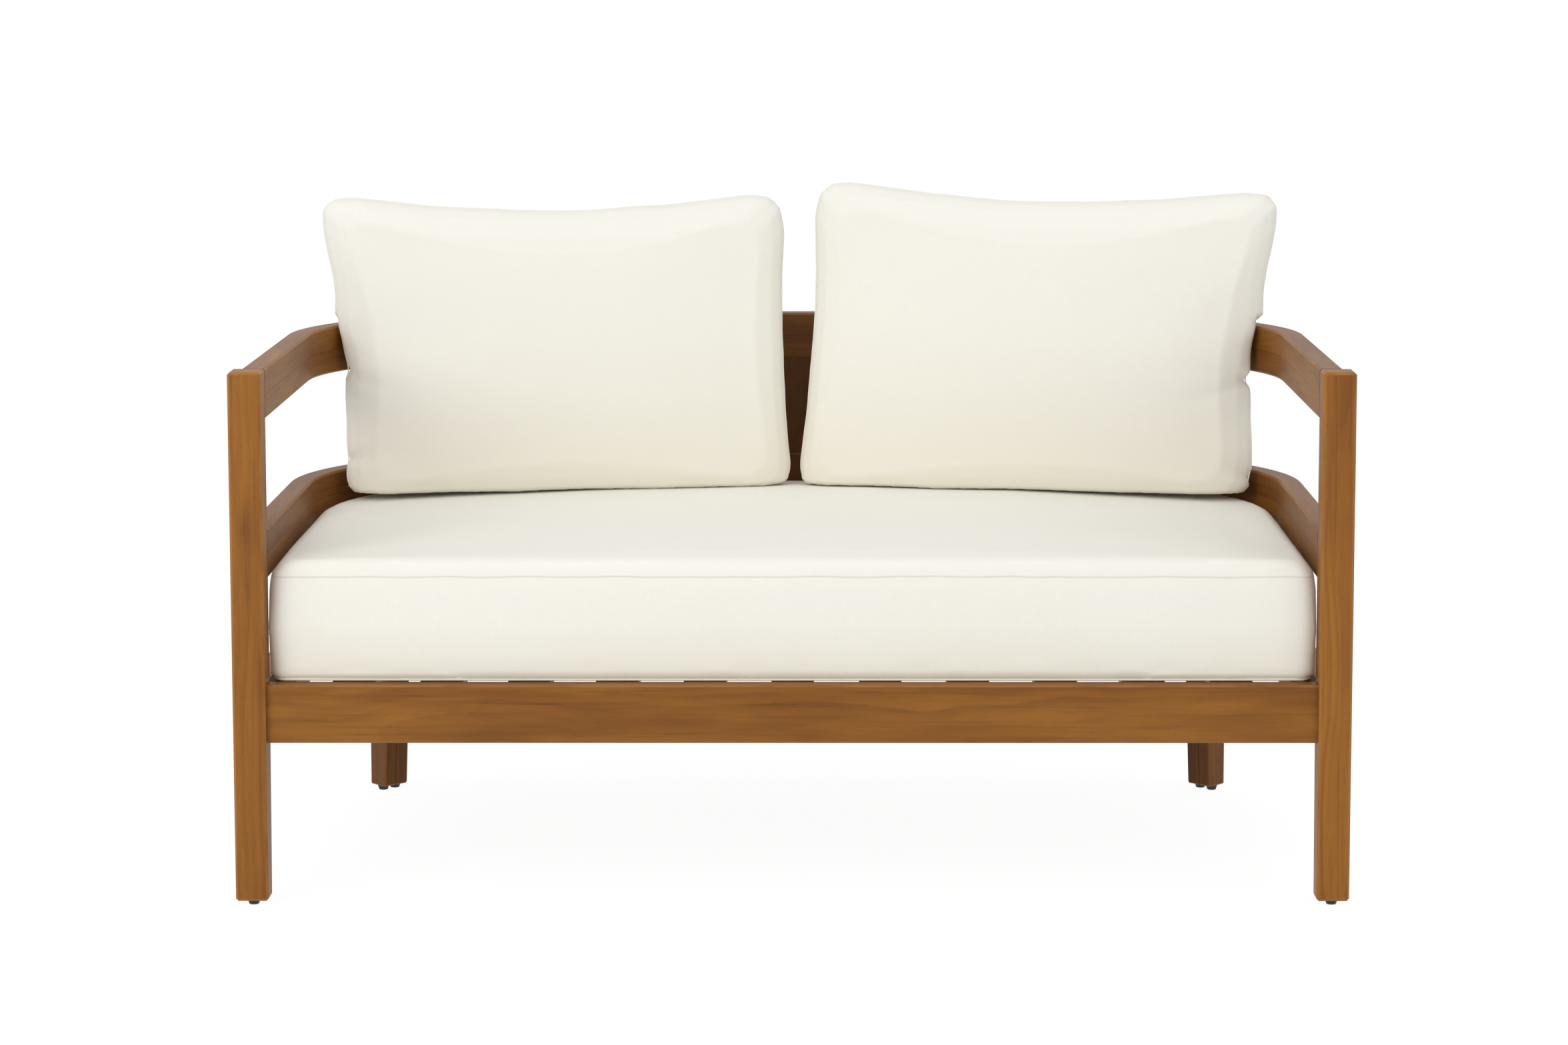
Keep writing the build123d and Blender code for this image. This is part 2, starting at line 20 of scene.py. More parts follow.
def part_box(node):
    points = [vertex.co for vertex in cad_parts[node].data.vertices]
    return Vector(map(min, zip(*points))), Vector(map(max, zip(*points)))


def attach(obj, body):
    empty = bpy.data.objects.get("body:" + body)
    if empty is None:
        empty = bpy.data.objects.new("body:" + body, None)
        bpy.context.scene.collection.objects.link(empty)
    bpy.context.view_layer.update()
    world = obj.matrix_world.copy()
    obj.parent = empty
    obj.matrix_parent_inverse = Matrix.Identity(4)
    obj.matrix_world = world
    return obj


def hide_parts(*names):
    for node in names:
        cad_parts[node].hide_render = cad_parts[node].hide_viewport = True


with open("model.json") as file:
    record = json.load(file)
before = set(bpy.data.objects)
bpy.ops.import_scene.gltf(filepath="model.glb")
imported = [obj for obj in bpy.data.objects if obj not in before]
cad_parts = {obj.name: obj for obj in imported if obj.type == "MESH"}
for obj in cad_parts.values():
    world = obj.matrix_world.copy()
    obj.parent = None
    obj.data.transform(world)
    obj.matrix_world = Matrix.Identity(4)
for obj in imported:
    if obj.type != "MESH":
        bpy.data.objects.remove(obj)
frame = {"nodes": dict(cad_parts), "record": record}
logging.basicConfig(level=logging.INFO, format="%(name)s: %(message)s")
log = logging.getLogger("loveseat")

Three = tuple[float, float, float]
Crease = tuple[float, float, float, float, float]
Socket = bpy.types.NodeSocket
Tree = bpy.types.NodeTree
Material = bpy.types.Material
Piece = bpy.types.Object
BMesh = bmesh.types.BMesh


def linear(red: int, green: int, blue: int) -> Three:
    """A screen colour of 0 to 255 a channel as the linear values that shaders take.

    Args:
        red: red channel.
        green: green channel.
        blue: blue channel.

    Returns:
        The three linear values.
    """
    shares = (red / 255, green / 255, blue / 255)
    return tuple(s / 12.92 if s <= 0.04045 else ((s + 0.055) / 1.055) ** 2.4 for s in shares)


class Graph:
    """Adds nodes to one shader tree and links them."""

    def __init__(self, tree: Tree) -> None:
        """Keeps the tree.

        Args:
            tree: a material's tree or a node group.
        """
        self.tree = tree

    def feed(self, socket: Socket, value: object) -> None:
        """Links an output to a socket, or sets the socket's own value.

        Args:
            socket: the input.
            value: another node's output, a number or a tuple.
        """
        if isinstance(value, Socket):
            self.tree.links.new(value, socket)
        elif isinstance(value, tuple) and socket.type == "RGBA":
            socket.default_value = (*value[:3], 1.0)
        else:
            socket.default_value = value

    def fill(self, node: bpy.types.Node, values: dict[str, object]) -> None:
        """Feeds a node's inputs by their names.

        Args:
            node: the node.
            values: what each named input gets.
        """
        for label, value in values.items():
            self.feed(node.inputs[label], value)

    def node(self, kind: str, *values: object, **settings: object) -> bpy.types.Node:
        """A new node with its settings and its first inputs.

        Args:
            kind: the node's type name, without ShaderNode.
            values: what its inputs get, in their order.
            settings: attributes to set on it.

        Returns:
            The node.
        """
        made = self.tree.nodes.new("ShaderNode" + kind)
        for name, value in settings.items():
            setattr(made, name, value)
        for socket, value in zip(made.inputs, values):
            self.feed(socket, value)
        return made

    def group(self, tree: Tree, values: dict[str, object]) -> bpy.types.Node:
        """A node that uses a node group.

        Args:
            tree: the group.
            values: what each of its inputs gets.

        Returns:
            The node.
        """
        made = self.node("Group", node_tree=tree)
        self.fill(made, values)
        return made

    def math(self, operation: str, *values: object, clamp: bool = False) -> Socket:
        """The result of a Math node.

        Args:
            operation: its operation.
            values: its inputs.
            clamp: whether the result stays from 0 to 1.

        Returns:
            The output.
        """
        return self.node("Math", *values, operation=operation, use_clamp=clamp).outputs[0]

    def times(self, first: object, second: object) -> Socket:
        """The product of two values.

        Args:
            first: one value.
            second: the other one.

        Returns:
            The product.
        """
        return self.math("MULTIPLY", first, second)

    def length(self, first: object, second: object) -> Socket:
        """The length of a step along two axes.

        Args:
            first: how far it goes along one axis.
            second: how far it goes along the other.

        Returns:
            The length.
        """
        squares = self.math("ADD", self.times(first, first), self.times(second, second))
        return self.math("SQRT", squares)

    def vector(self, operation: str, *values: object) -> Socket:
        """The vector result of a Vector Math node.

        Args:
            operation: its operation.
            values: its inputs.

        Returns:
            The output.
        """
        return self.node("VectorMath", *values, operation=operation).outputs[0]

    def combine(self, x: object, y: object, z: object) -> Socket:
        """A vector from three values.

        Args:
            x: first value.
            y: second value.
            z: third value.

        Returns:
            The vector.
        """
        return self.node("CombineXYZ", x, y, z).outputs[0]

    def parts(self, vector: object) -> tuple[Socket, ...]:
        """The three values of a vector.

        Args:
            vector: the vector.

        Returns:
            Its x, y and z.
        """
        return tuple(self.node("SeparateXYZ", vector).outputs)

    def cloud(
        self, place: object, stretch: Three, detail: float = 2.0, rough: float = 0.5, warp: float = 0.0
    ) -> Socket:
        """Smooth noise from 0 to 1.

        Args:
            place: the vector that it is read at.
            stretch: how many lumps a metre there are along each axis.
            detail: octaves.
            rough: how strong each finer octave is.
            warp: distortion.

        Returns:
            The noise value.
        """
        made = self.node("TexNoise")
        self.fill(made, {"Vector": self.vector("MULTIPLY", place, stretch), "Scale": 1.0})
        self.fill(made, {"Detail": detail, "Roughness": rough, "Distortion": warp})
        return made.outputs["Fac"]

    def span(
        self, value: object, low: float, high: float, start: float = 0.0, end: float = 1.0
    ) -> Socket:
        """A value eased from one span to another.

        Args:
            value: the value.
            low: where it is start.
            high: where it is end.
            start: the first result.
            end: the last result.

        Returns:
            The eased value.
        """
        return self.node("MapRange", value, low, high, start, end, interpolation_type="SMOOTHSTEP").outputs[0]

    def tint(self, share: object, first: object, second: object) -> Socket:
        """A mix of two colours.

        Args:
            share: how much of the second there is.
            first: first colour.
            second: second colour.

        Returns:
            The colour.
        """
        made = self.node("Mix", share, data_type="RGBA")
        self.feed(made.inputs[6], first)
        self.feed(made.inputs[7], second)
        return made.outputs[2]

    def bump(self, shader: bpy.types.Node, height: object, strength: float, distance: float) -> None:
        """Gives a shader its fine relief.

        Args:
            shader: the Principled shader.
            height: the relief's height.
            strength: how strongly it shows.
            distance: how deep it is.
        """
        made = self.node("Bump")
        self.fill(made, {"Strength": strength, "Distance": distance, "Height": height})
        self.feed(shader.inputs["Normal"], made.outputs[0])


def node_group(name: str, takes: dict[str, str], gives: dict[str, str]) -> tuple[Graph, object, object]:
    """A new shader node group with named sockets.

    Args:
        name: the group's name.
        takes: input names, each with Vector, Float or Color.
        gives: output names, each with Vector, Float or Color.

    Returns:
        Its graph, the node with its inputs and the node that takes its outputs.
    """
    tree = bpy.data.node_groups.new(name, "ShaderNodeTree")
    for direction, sockets in (("INPUT", takes), ("OUTPUT", gives)):
        for label, kind in sockets.items():
            tree.interface.new_socket(label, in_out=direction, socket_type="NodeSocket" + kind)
    return Graph(tree), tree.nodes.new("NodeGroupInput"), tree.nodes.new("NodeGroupOutput")


def new_material(name: str) -> tuple[Material, Graph, bpy.types.Node, Socket]:
    """A new material with nodes.

    Args:
        name: its name.

    Returns:
        The material, its graph, its Principled shader and the place on the object.
    """
    made = bpy.data.materials.new(name)
    made.use_nodes = True
    graph = Graph(made.node_tree)
    return made, graph, made.node_tree.nodes["Principled BSDF"], graph.node("TexCoord").outputs["Object"]


class GrainRun(Enum):
    """Which way a board's grain runs."""

    UPRIGHT = "up"
    SIDEWAYS = "left to right"
    FORE_AFT = "front to back"
    ROUND_SIDE = "along a side rail and round its corner"
    ROUND_BACK = "along the back and round both its corners"


@dataclass(frozen=True)
class RailRing:
    """The closed ring that the rails make in plan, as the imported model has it."""

    side_centre: tuple[float, float] = (0.379, 0.06316)
    side_radius: float = 0.29
    back_centre: tuple[float, float] = (0.36627, 0.107)
    back_radius: float = 0.268
    board: float = 0.029


RING = RailRing()


@dataclass(frozen=True)
class WoodFinish:
    """Stained hardwood under a satin oil finish."""

    light: Three = linear(153, 99, 35)
    middle: Three = linear(127, 77, 24)
    dark: Three = linear(80, 43, 12)
    # Colour of the arrises: abraded stain, and a painted highlight along the lit edges.
    edge_rub_and_highlight: Three = linear(160, 108, 48)
    ring_width: float = 0.0085
    roughness: float = 0.46
    gloss: float = 0.24
    relief: float = 0.0004
    glued_step: float = 5.37
    log_steps: Three = (1.31, 0.47, 0.83)
    slow_wander: float = 0.085
    quick_wander: float = 0.016
    knots_above: float = 0.86
    pores_above: float = 0.71
    joint_half: float = 0.0011
    joint_edge: float = 0.0003

    def round_board_group(self) -> Tree:
        """The group that gives a place along, across and through a board that bends round a corner.

        Returns:
            The node group.
        """
        graph, takes, gives = node_group(
            "Bent board place",
            {"Ahead": "Float", "Outwards": "Float", "Height": "Float", "Radius": "Float"},
            {"Place": "Vector"},
        )
        ahead, outwards, height, radius = (takes.outputs[n] for n in range(4))
        turn = graph.math("MAXIMUM", ahead, 0.0)
        angle = graph.math("ARCTAN2", turn, outwards)
        run = graph.math("MULTIPLY_ADD", angle, radius, graph.math("MINIMUM", ahead, 0.0))
        through = graph.math("SUBTRACT", graph.length(turn, outwards), radius)
        graph.feed(gives.inputs["Place"], graph.combine(run, height, through))
        return graph.tree

    def grain_group(self) -> Tree:
        """The group that colours a board from its own place in the log.

        Returns:
            The node group.
        """
        kinds = dict.fromkeys(("Seed", "Ring width", "Figure", "Glued", "Arris"), "Float")
        kinds |= dict.fromkeys(("Light", "Middle", "Dark", "Edge rub and highlight"), "Color")
        graph, takes, gives = node_group(
            "Timber grain",
            {"Place": "Vector", "Pith": "Vector"} | kinds,
            {"Color": "Color", "Roughness": "Float", "Height": "Float"},
        )
        put = takes.outputs
        along, across, through = graph.parts(put["Place"])
        upper = graph.times(graph.math("GREATER_THAN", across, 0.0), put["Glued"])
        seed = graph.math("MULTIPLY_ADD", upper, self.glued_step, put["Seed"])
        shift = graph.combine(*(graph.times(seed, step) for step in self.log_steps))
        place = graph.vector("ADD", put["Place"], shift)
        pith_slope, pith_across, pith_through = graph.parts(put["Pith"])
        sway = graph.math("SUBTRACT", graph.cloud(place, (2.6, 5.0, 5.0), 2.0), 0.5)
        swirl = graph.math("SUBTRACT", graph.cloud(place, (9.0, 17.0, 17.0), 1.5), 0.5)
        wander = graph.math("MULTIPLY_ADD", sway, self.slow_wander, graph.times(swirl, self.quick_wander))
        wander = graph.times(wander, put["Figure"])
        from_pith = graph.math("ADD", graph.math("ADD", across, pith_across), wander)
        from_pith = graph.math("MULTIPLY_ADD", along, pith_slope, from_pith)
        depth = graph.math("ADD", graph.math("ADD", through, pith_through), graph.times(sway, 0.02))
        rings = graph.math("DIVIDE", graph.length(from_pith, depth), put["Ring width"])
        year = graph.math("FRACT", rings)
        late = graph.times(graph.span(year, 0.25, 0.86), graph.span(year, 1.0, 0.93))
        in_year = graph.combine(graph.math("FLOOR", rings), graph.times(along, 1.7), seed)
        late = graph.times(late, graph.span(graph.cloud(in_year, (0.73, 1.0, 1.0), 1.0), 0.3, 0.72, 0.12, 1.0))
        broad = graph.cloud(place, (3.2, 21.0, 21.0), 3.0, 0.55)
        blotch = graph.cloud(place, (11.0, 44.0, 44.0), 2.5, 0.6, 0.6)
        fibres = graph.cloud(place, (26.0, 820.0, 820.0), 3.0, 0.62)
        streaks = graph.cloud(place, (5.0, 210.0, 210.0), 2.0, 0.55)
        fine = graph.cloud(place, (130.0, 2600.0, 2600.0), 1.0)
        pores = graph.math("GREATER_THAN", fine, self.pores_above)
        knots = graph.node("TexVoronoi", feature="F1")
        graph.fill(knots, {"Vector": graph.vector("MULTIPLY", place, (6.0, 13.0, 13.0)), "Scale": 1.0})
        knot_core = graph.span(knots.outputs["Distance"], 0.075, 0.03)
        knot_halo = graph.span(knots.outputs["Distance"], 0.3, 0.05, 0.0, 0.45)
        few = graph.math("GREATER_THAN", graph.parts(knots.outputs["Color"])[0], self.knots_above)
        knot = graph.times(graph.math("MAXIMUM", knot_core, knot_halo), few)
        near_joint = graph.span(graph.math("ABSOLUTE", across), self.joint_half, self.joint_edge)
        joint_line = graph.times(near_joint, put["Glued"])
        tone = graph.math("SUBTRACT", graph.math("FRACT", graph.times(seed, 7.713)), 0.5)
        arris_patches = graph.span(graph.cloud(place, (17.0, 60.0, 60.0)), 0.3, 0.62, 0.25, 0.75)
        colour = graph.tint(graph.span(broad, 0.3, 0.72), put["Middle"], put["Light"])
        for share, shade in (
            (graph.span(blotch, 0.5, 0.82, 0.0, 0.24), "Dark"),
            (graph.span(blotch, 0.46, 0.2, 0.0, 0.3), "Light"),
            (graph.times(late, 0.26), "Dark"),
            (graph.span(streaks, 0.52, 0.82, 0.0, 0.42), "Dark"),
            (graph.span(fibres, 0.54, 0.84, 0.0, 0.36), "Dark"),
            (graph.times(pores, 0.45), "Dark"),
            (graph.times(knot, 0.85), "Dark"),
            (graph.times(joint_line, 0.4), "Dark"),
            (graph.times(graph.math("ABSOLUTE", tone), 0.34), "Dark"),
            # Lighter arrises: abraded stain, and a painted highlight along the edges.
            (graph.times(put["Arris"], arris_patches), "Edge rub and highlight"),
        ):
            colour = graph.tint(share, colour, put[shade])
        rough = graph.math("MULTIPLY_ADD", fibres, 0.16, self.roughness - 0.08)
        rough = graph.math("MULTIPLY_ADD", pores, 0.12, rough, clamp=True)
        height = graph.math("MULTIPLY_ADD", fibres, 0.5, graph.times(late, 0.35))
        height = graph.math("SUBTRACT", height, graph.times(pores, 0.7))
        height = graph.math("SUBTRACT", height, graph.times(joint_line, 1.2))
        graph.fill(gives, {"Color": colour, "Roughness": rough, "Height": height})
        return graph.tree

    def arris_group(self) -> Tree:
        """The group that finds the narrow faces along a board's edges, where the stain wears and a highlight
        is painted.

        Returns:
            The node group.
        """
        graph, takes, gives = node_group(
            "Arris rub and highlight", {"Turned normal": "Vector", "Round": "Float"}, {"Arris": "Float"}
        )
        share = takes.outputs["Round"]
        facing = graph.parts(takes.outputs["Turned normal"])
        x, y, z = (graph.math("ABSOLUTE", part) for part in facing)
        squarest = graph.times(graph.math("MAXIMUM", x, y), graph.math("SUBTRACT", 1.0, share))
        flat = graph.math("ADD", graph.times(graph.length(x, y), share), squarest)
        graph.feed(gives.inputs["Arris"], graph.span(graph.math("MAXIMUM", flat, z), 0.93, 0.8))
        return graph.tree


@dataclass
class TimberFrame:
    """The wooden frame: every board gets its own piece of the log."""

    finish: WoodFinish = field(default_factory=WoodFinish)
    glued: tuple[str, ...] = ("arm_rail", "lower_arm_rail", "back_top_rail", "back_lower_rail")
    turned: tuple[str, ...] = ("side_rear_leg", "back_leg")
    first_seed: float = 1.7
    seed_step: float = 2.37
    # Colour factors by board: the back rails, the back stile and the rear legs are darkened as painted shade,
    # for where they sit in shadow behind the cushions; the other factors set each board's own tone.
    tone_and_painted_shade: dict[str, float] = field(
        default_factory=lambda: {
            "front_leg": 1.12,
            "back_centre_stile": 0.52,
            "back_top_rail": 0.66,
            "back_lower_rail": 0.6,
            "side_rear_leg": 0.78,
            "back_leg": 0.72,
            "arm_rail": 0.86,
            "lower_arm_rail": 0.82,
            "front_apron": 0.96,
        }
    )

    def run_of(self, name: str) -> GrainRun:
        """Which way a board's grain runs.

        Args:
            name: the board's node.

        Returns:
            Its run.
        """
        if "leg" in name or "stile" in name:
            return GrainRun.UPRIGHT
        if name.startswith(("arm_rail", "lower_arm", "side_apron", "side_cleat")):
            return GrainRun.ROUND_SIDE
        if name.startswith("back_"):
            return GrainRun.ROUND_BACK
        if name.startswith(("front_apron", "front_cleat", "deck_batten")):
            return GrainRun.SIDEWAYS
        return GrainRun.FORE_AFT

    def bent_place(
        self, graph: Graph, here: Socket, run: GrainRun, level: float, bend: Tree
    ) -> Socket:
        """A place along, across and through a rail of the ring.

        Args:
            graph: the material's graph.
            here: the place on the object.
            run: which part of the ring the rail follows.
            level: the rail's middle height.
            bend: the bent board group.

        Returns:
            The place in the board.
        """
        x, y, z = graph.parts(here)
        height = graph.math("SUBTRACT", z, level)
        across = graph.math("ABSOLUTE", x)
        if run is GrainRun.ROUND_SIDE:
            centre, radius = RING.side_centre, RING.side_radius - RING.board / 2
            ahead, outwards = graph.math("SUBTRACT", y, centre[1]), graph.math("SUBTRACT", across, centre[0])
        else:
            centre, radius = RING.back_centre, RING.back_radius - RING.board / 2
            ahead, outwards = graph.math("SUBTRACT", across, centre[0]), graph.math("SUBTRACT", y, centre[1])
        values = {"Ahead": ahead, "Outwards": outwards, "Height": height, "Radius": radius}
        place = graph.group(bend, values).outputs[0]
        if run is GrainRun.ROUND_SIDE:
            return place
        along, up, through = graph.parts(place)
        along = graph.times(graph.math("ADD", along, centre[0]), graph.math("SIGN", x))
        return graph.combine(along, up, through)

    def straight_place(
        self, graph: Graph, vector: object, kind: str, name: str, run: GrainRun | None = None
    ) -> Socket:
        """A vector in a straight board's own directions.

        Args:
            graph: the material's graph.
            vector: a place from the board's middle, or a normal.
            kind: POINT or NORMAL.
            name: the board's node.
            run: which way the grain runs, to give it along, across and through.

        Returns:
            The turned vector.
        """
        turn = 0.0
        if name.startswith(self.turned):
            turn = math.radians(-45 if name.endswith("right") else 45)
        mapped = graph.node("Mapping", vector_type=kind)
        graph.feed(mapped.inputs["Vector"], vector)
        mapped.inputs["Rotation"].default_value = (0.0, 0.0, turn)
        if run is None:
            return mapped.outputs[0]
        x, y, z = graph.parts(mapped.outputs[0])
        order = {GrainRun.UPRIGHT: (z, x, y), GrainRun.SIDEWAYS: (x, z, y), GrainRun.FORE_AFT: (y, x, z)}
        return graph.combine(*order[run])

    def material(self, name: str, seed: float, groups: tuple[Tree, ...]) -> Material:
        """A board's own material.

        Args:
            name: the board's node.
            seed: its place in the log.
            groups: the bent board, arris and grain groups.

        Returns:
            The material.
        """
        bend, arris, grain = groups
        low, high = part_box(name)
        middle = (low + high) / 2
        run = self.run_of(name)
        made, graph, shader, here = new_material(f"oiled_{name}")
        normal = graph.node("NewGeometry").outputs["True Normal"]
        is_round = run in (GrainRun.ROUND_SIDE, GrainRun.ROUND_BACK)
        if is_round:
            place = self.bent_place(graph, here, run, middle.z, bend)
        else:
            from_middle = graph.vector("SUBTRACT", here, tuple(middle))
            place = self.straight_place(graph, from_middle, "POINT", name, run)
            normal = self.straight_place(graph, normal, "NORMAL", name)
        # Mask of the narrow edge faces, which get abraded stain and a painted highlight.
        scuffed_and_highlit = graph.group(arris, {"Turned normal": normal, "Round": 1.0 if is_round else 0.0})
        swing = math.sin(seed * 12.9898) * 43758.5453
        chance = swing - math.floor(swing)
        # The board's colour factor: painted shade for the boards at the back, tone for the others.
        shade = next((share for start, share in self.tone_and_painted_shade.items() if name.startswith(start)), 1.0)
        values = {
            "Place": place,
            "Seed": seed,
            "Pith": (0.05 * (chance - 0.5), 0.012 + 0.07 * chance, 0.03 + 0.035 * (1 - chance)),
            "Ring width": self.finish.ring_width,
            "Figure": 0.4 if run is GrainRun.UPRIGHT else 1.0,
            "Glued": 1.0 if name.startswith(self.glued) else 0.0,
            "Arris": scuffed_and_highlit.outputs[0],
        }
        finish = self.finish
        colours = {"Light": finish.light, "Middle": finish.middle, "Dark": finish.dark, "Edge rub and highlight": finish.edge_rub_and_highlight}
        values |= {label: tuple(shade * part for part in colour) for label, colour in colours.items()}
        board = graph.group(grain, values).outputs
        shader.inputs["Specular IOR Level"].default_value = finish.gloss
        graph.fill(shader, {"Base Color": board["Color"], "Roughness": board["Roughness"]})
        graph.bump(shader, board["Height"], 0.35, finish.relief)
        return made

    def dress(self) -> int:
        """Gives every wooden node its material.

        Returns:
            How many boards there are.
        """
        groups = (self.finish.round_board_group(), self.finish.arris_group(), self.finish.grain_group())
        slots = {row["node"]: row["material_slot"] for row in frame["record"]["subparts"]}
        boards = sorted(name for name, label in slots.items() if label == "wood")
        for number, name in enumerate(boards):
            board = frame["nodes"][name]
            board.data.materials.clear()
            seed = self.first_seed + self.seed_step * number
            board.data.materials.append(self.material(name, seed, groups))
        return len(boards)


@dataclass(frozen=True)
class PlasticFinish:
    """Black moulded plastic with a fine matt grain."""

    colour: Three = linear(30, 24, 20)
    scuffed: Three = linear(62, 54, 47)
    scuff_height: float = 0.003

    def material(self) -> Material:
        """The glides' material.

        Returns:
            The material.
        """
        made, graph, shader, here = new_material("glide_plastic")
        speckle = graph.cloud(here, (1900.0, 1900.0, 1900.0), 2.0)
        low_down = graph.span(graph.parts(here)[2], self.scuff_height, 0.0)
        scuffs = graph.times(low_down, graph.span(speckle, 0.4, 0.7))
        rough = graph.math("MULTIPLY_ADD", speckle, 0.2, 0.42)
        graph.fill(shader, {"Base Color": graph.tint(scuffs, self.colour, self.scuffed), "Roughness": rough})
        graph.bump(shader, speckle, 0.3, 0.0002)
        return made


@dataclass(frozen=True)
class SteelFinish:
    """Zinc-plated steel with turning marks."""

    colour: Three = linear(176, 176, 172)
    dull: Three = linear(128, 126, 120)

    def material(self) -> Material:
        """The bolts' and screws' material.

        Returns:
            The material.
        """
        made, graph, shader, here = new_material("plated_steel")
        tarnish = graph.cloud(here, (260.0, 260.0, 260.0), 3.0)
        fine = graph.cloud(here, (2400.0, 2400.0, 2400.0), 1.0)
        colour = graph.tint(graph.span(tarnish, 0.4, 0.7), self.colour, self.dull)
        rough = graph.math("MULTIPLY_ADD", fine, 0.22, 0.24)
        graph.fill(shader, {"Base Color": colour, "Roughness": rough, "Metallic": 1.0})
        graph.bump(shader, fine, 0.2, 0.0001)
        return made


@dataclass(frozen=True)
class FabricFinish:
    """Off-white woven outdoor cloth."""

    pale: Three = linear(243, 241, 232)
    # Darker, creamier colour painted as shade towards the bottom of each cushion.
    shaded_cream: Three = linear(238, 233, 218)
    # Darker thread colour: the slubs' own tone, and painted shade in the weave's hollows and seam grooves.
    slub_and_shadow_colour: Three = linear(214, 205, 184)
    pitch: float = 0.0013
    thread_sway: float = 0.0012
    roughness: float = 0.92
    sheen: float = 0.12
    seam_sway: float = 0.004
    seam_half: float = 0.0016
    seam_bottom: float = 0.0003
    relief: float = 0.00025

    def weave_group(self) -> Tree:
        """The group that weaves plain cloth on whichever way a surface faces.

        Returns:
            The node group.
        """
        graph, takes, gives = node_group(
            "Plain weave",
            {"Place": "Vector", "Normal": "Vector", "Pitch": "Float"},
            {"Height": "Float", "Slub": "Float"},
        )
        place = takes.outputs["Place"]
        sway = graph.math("SUBTRACT", graph.cloud(place, (70.0, 70.0, 70.0), 2.0), 0.5)
        step = graph.math("DIVIDE", 2 * math.pi, takes.outputs["Pitch"])
        waves, facing = [], []
        for part, towards in zip(graph.parts(place), graph.parts(takes.outputs["Normal"])):
            phase = graph.times(graph.math("MULTIPLY_ADD", sway, self.thread_sway, part), step)
            waves.append(graph.math("SINE", phase))
            facing.append(graph.math("POWER", graph.math("ABSOLUTE", towards), 4.0))
        total = graph.math("ADD", graph.math("ADD", facing[0], facing[1]), facing[2])
        height = 0.0
        for axis in range(3):
            crossing = graph.times(waves[(axis + 1) % 3], waves[(axis + 2) % 3])
            height = graph.math("MULTIPLY_ADD", crossing, graph.math("DIVIDE", facing[axis], total), height)
        slub = graph.cloud(place, (900.0, 900.0, 900.0), 2.0, 0.6)
        graph.fill(gives, {"Height": height, "Slub": slub})
        return graph.tree

    def material(
        self, name: str, weave: Tree, low: float, high: float, seams: tuple[float, ...]
    ) -> Material:
        """A cushion cover's material, with level seams at some heights.

        Args:
            name: the material's name.
            weave: the weave group.
            low: height where the cloth is darkest and creamiest, painted shade towards the bottom.
            high: height where it is palest.
            seams: heights of level seams.

        Returns:
            The material.
        """
        made, graph, shader, here = new_material(name)
        normal = graph.node("NewGeometry").outputs["Normal"]
        cloth = graph.group(weave, {"Place": here, "Normal": normal, "Pitch": self.pitch}).outputs
        height = graph.parts(here)[2]
        rise = graph.math("MULTIPLY_ADD", graph.cloud(here, (4.0, 4.0, 4.0), 2.0), 0.08, height)
        # Painted shade: the cloth turns darker and creamier from the top down to the bottom of each cushion.
        colour = graph.tint(graph.span(rise, low, high), self.shaded_cream, self.pale)
        relief = cloth["Height"]
        # Darkening shares: slubs as real tone, the weave's hollows and the seam grooves below as painted
        # shade.
        slub_and_shade_shares = [graph.span(cloth["Slub"], 0.55, 0.9, 0.0, 0.22), graph.span(relief, -0.3, -1.0, 0.0, 0.2)]
        for seam in seams:
            sway = graph.math("SUBTRACT", graph.cloud(here, (14.0, 14.0, 0.0), 1.0), 0.5)
            level = graph.math("ADD", height, graph.times(sway, self.seam_sway))
            away = graph.math("ABSOLUTE", graph.math("SUBTRACT", level, seam))
            groove = graph.span(away, self.seam_half, self.seam_bottom)
            # Painted shade in the seam groove.
            slub_and_shade_shares.append(graph.times(groove, 0.55))
            relief = graph.math("MULTIPLY_ADD", groove, -6.0, relief)
        for shadow in slub_and_shade_shares:
            colour = graph.tint(shadow, colour, self.slub_and_shadow_colour)
        rough = graph.math("MULTIPLY_ADD", cloth["Slub"], 0.1, self.roughness - 0.05)
        graph.fill(shader, {"Base Color": colour, "Roughness": rough})
        shader.inputs["Sheen Weight"].default_value = self.sheen
        shader.inputs["Sheen Roughness"].default_value = 0.5
        graph.bump(shader, relief, 0.35, self.relief)
        return made


def placed(name: str, data: bpy.types.ID) -> Piece:
    """A new object in the scene.

    Args:
        name: its name.
        data: its mesh, curve, camera or lamp.

    Returns:
        The object.
    """
    made = bpy.data.objects.new(name, data)
    bpy.context.scene.collection.objects.link(made)
    return made


def new_piece(name: str, mesh: BMesh) -> Piece:
    """A smooth-shaded object from a bmesh, with its place in its mesh.

    Args:
        name: the piece's name.
        mesh: its shape, which is freed.

    Returns:
        The object.
    """
    data = bpy.data.meshes.new(name)
    mesh.to_mesh(data)
    mesh.free()
    for face in data.polygons:
        face.use_smooth = True
    return placed(name, data)


def baked(piece: Piece) -> bpy.types.Mesh:
    """The mesh that a piece's modifiers make now.

    Args:
        piece: the object.

    Returns:
        A new mesh.
    """
    graph = bpy.context.evaluated_depsgraph_get()
    return bpy.data.meshes.new_from_object(piece.evaluated_get(graph), depsgraph=graph)


def settle(piece: Piece) -> None:
    """Applies all of a piece's modifiers to its mesh.

    Args:
        piece: the object.
    """
    old, mesh = piece.data, baked(piece)
    piece.modifiers.clear()
    piece.data = mesh
    mesh.name = piece.name
    bpy.data.meshes.remove(old)


